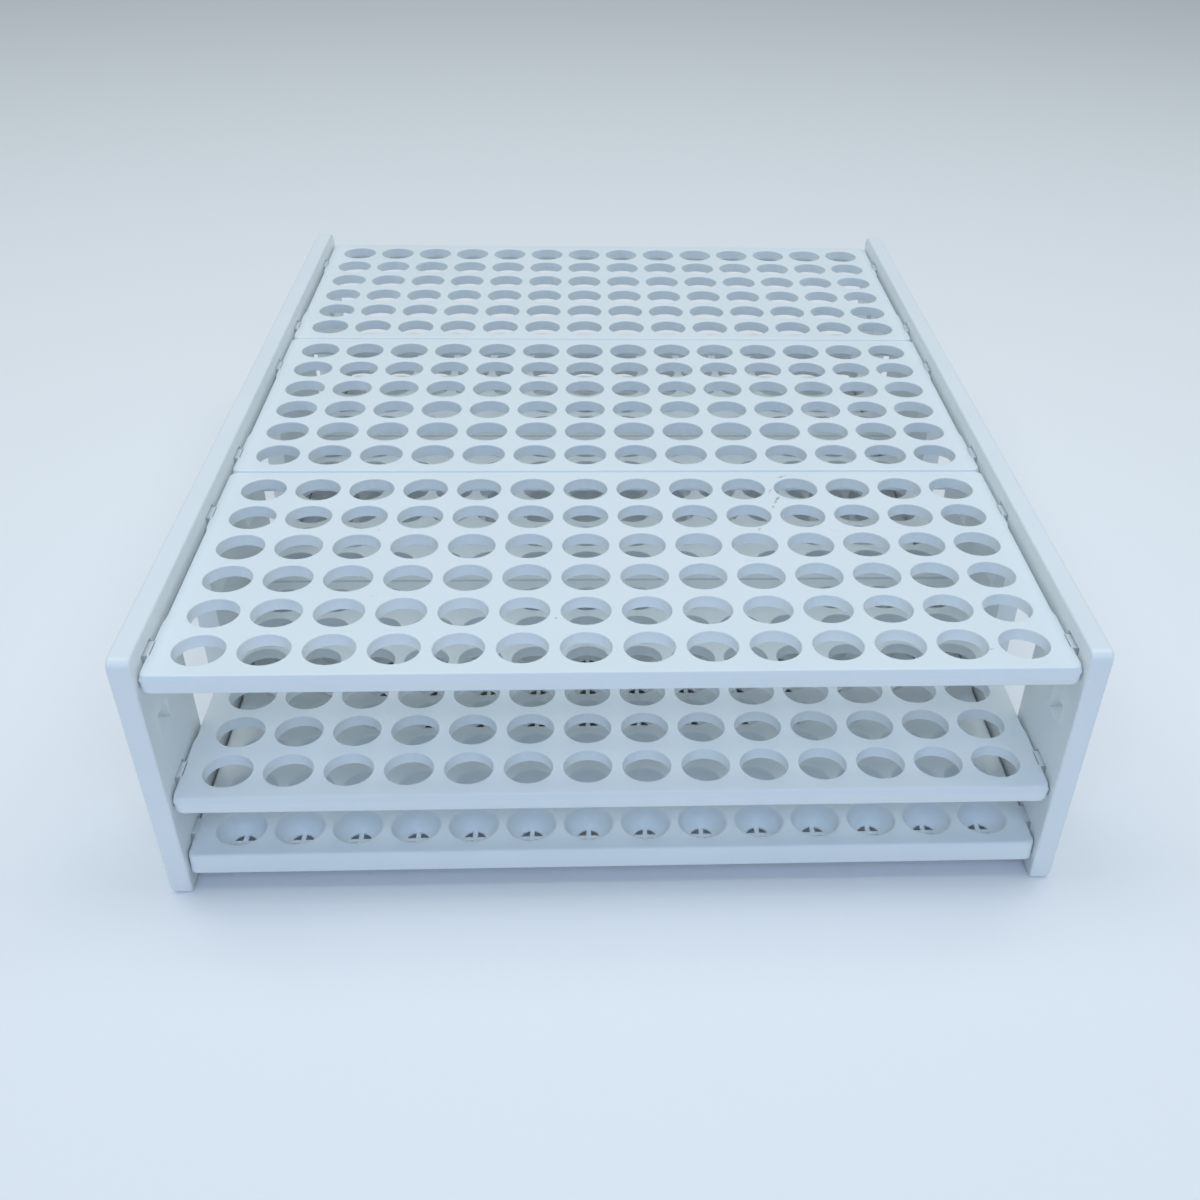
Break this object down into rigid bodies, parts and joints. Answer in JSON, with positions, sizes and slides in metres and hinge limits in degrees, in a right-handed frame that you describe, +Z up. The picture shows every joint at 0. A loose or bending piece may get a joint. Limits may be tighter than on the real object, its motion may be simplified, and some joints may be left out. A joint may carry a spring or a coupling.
{
  "type": "test tube rack",
  "caption": "Flat open rack for test tubes: two side plates carry tiers of perforated panels above a base tier of round cups with drains.",
  "frame": {"origin": "on the floor under the middle of the rack's box", "axes": "+X along the columns of holes, to the right; +Y towards the rear; +Z up"},
  "size_m": [0.268, 0.346, 0.0856],
  "materials": {
    "panel_plastic": "semi-gloss white, slightly translucent",
    "plate_plastic": "semi-gloss white"
  },
  "bodies": {
    "root": {"top_panel_front": "panel_plastic", "top_panel_centre": "panel_plastic", "top_panel_rear": "panel_plastic", "middle_panel_front": "panel_plastic", "middle_panel_centre": "panel_plastic", "middle_panel_rear": "panel_plastic", "base_panel_front": "panel_plastic", "base_panel_centre": "panel_plastic", "base_panel_rear": "panel_plastic", "side_plate_left": "plate_plastic", "side_plate_right": "plate_plastic"}
  },
  "joints": []
}
